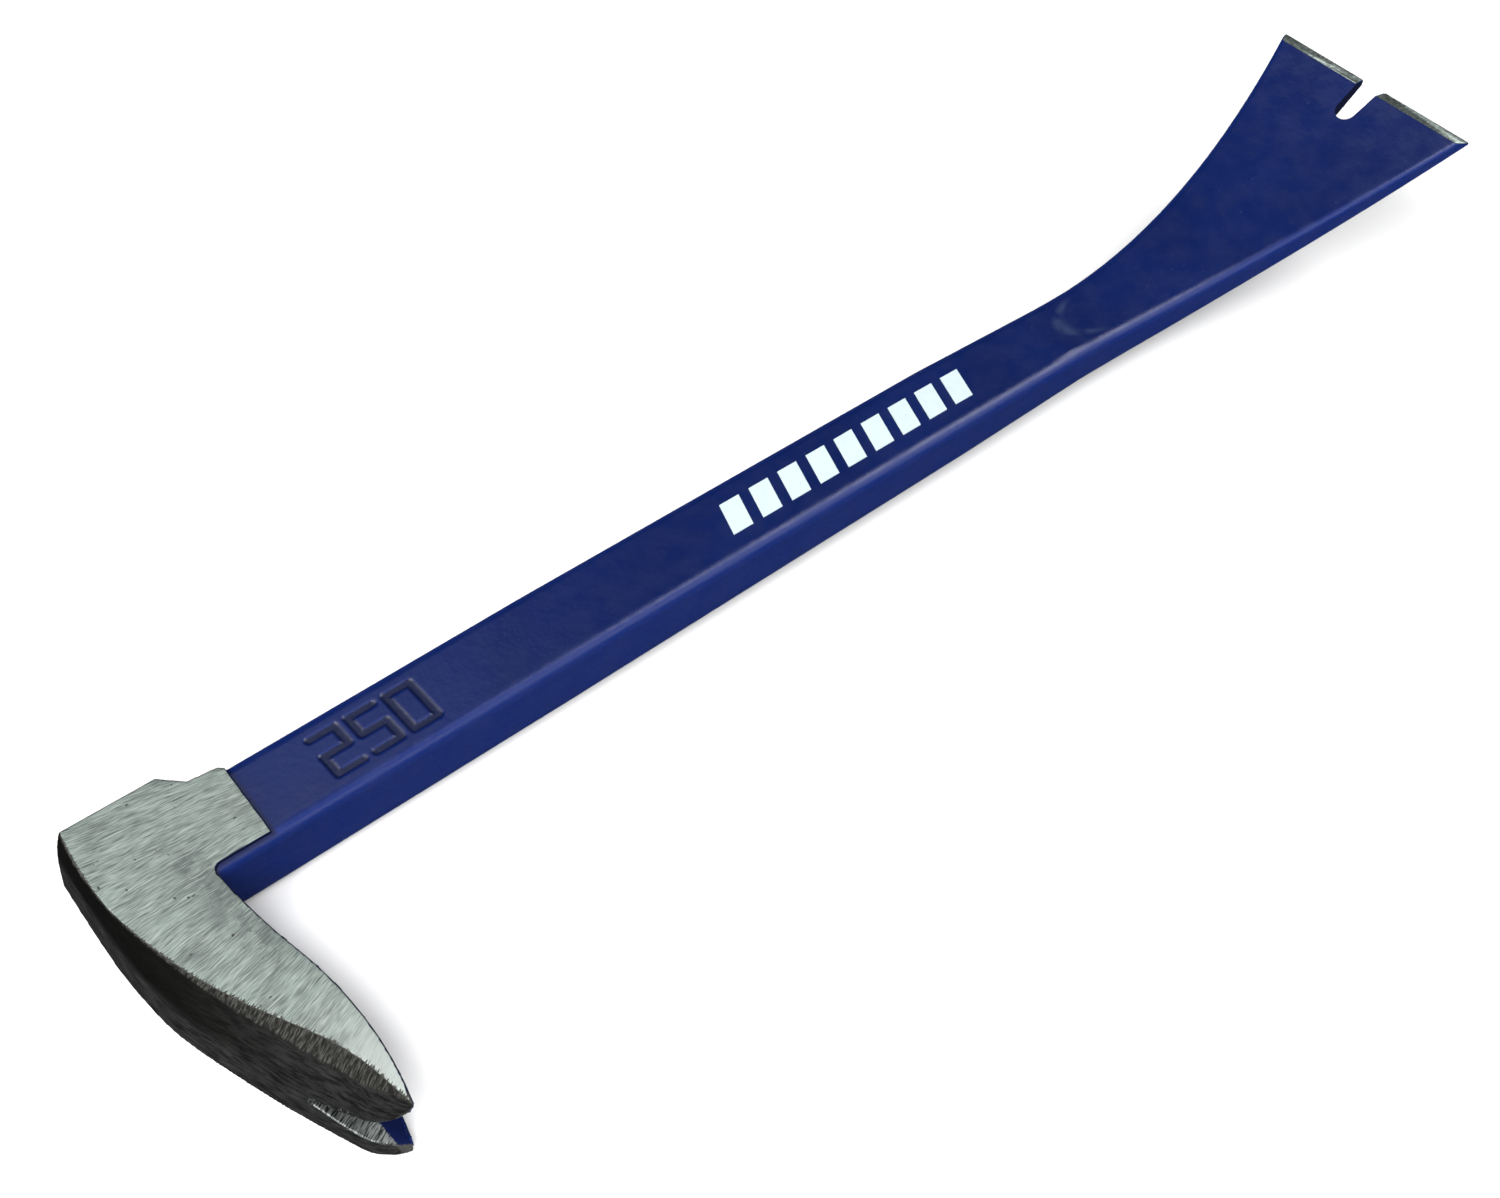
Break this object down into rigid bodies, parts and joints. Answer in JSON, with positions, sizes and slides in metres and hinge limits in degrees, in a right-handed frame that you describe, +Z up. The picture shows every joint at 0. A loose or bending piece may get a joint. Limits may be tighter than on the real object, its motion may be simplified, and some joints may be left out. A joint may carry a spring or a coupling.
{
  "type": "pry bar",
  "caption": "Flat forged pry bar: rectangular shank, L-shaped head with rocker claw, nail slot and striking poll, and an upswept flared blade with a nail slot.",
  "frame": {"origin": "middle of the bounding box's base: the tool lies flat, with the head's ground underside on z = 0", "axes": "+X from the claw head to the blade, +Y towards the striking poll's side of the shank, +Z up, the way the blade sweeps"},
  "size_m": [0.2541, 0.0666, 0.0291],
  "materials": {
    "forged_steel": "ground bright on the head's two flat faces and the blade bevel, dark forge scale on the rocker",
    "blue_paint": "satin gloss stoved enamel over the forging",
    "white_print": "thin satin printed ink"
  },
  "bodies": {
    "root": {"forged_bar": "forged_steel", "blue_coating": "blue_paint", "printed_mark": "white_print"}
  },
  "joints": []
}
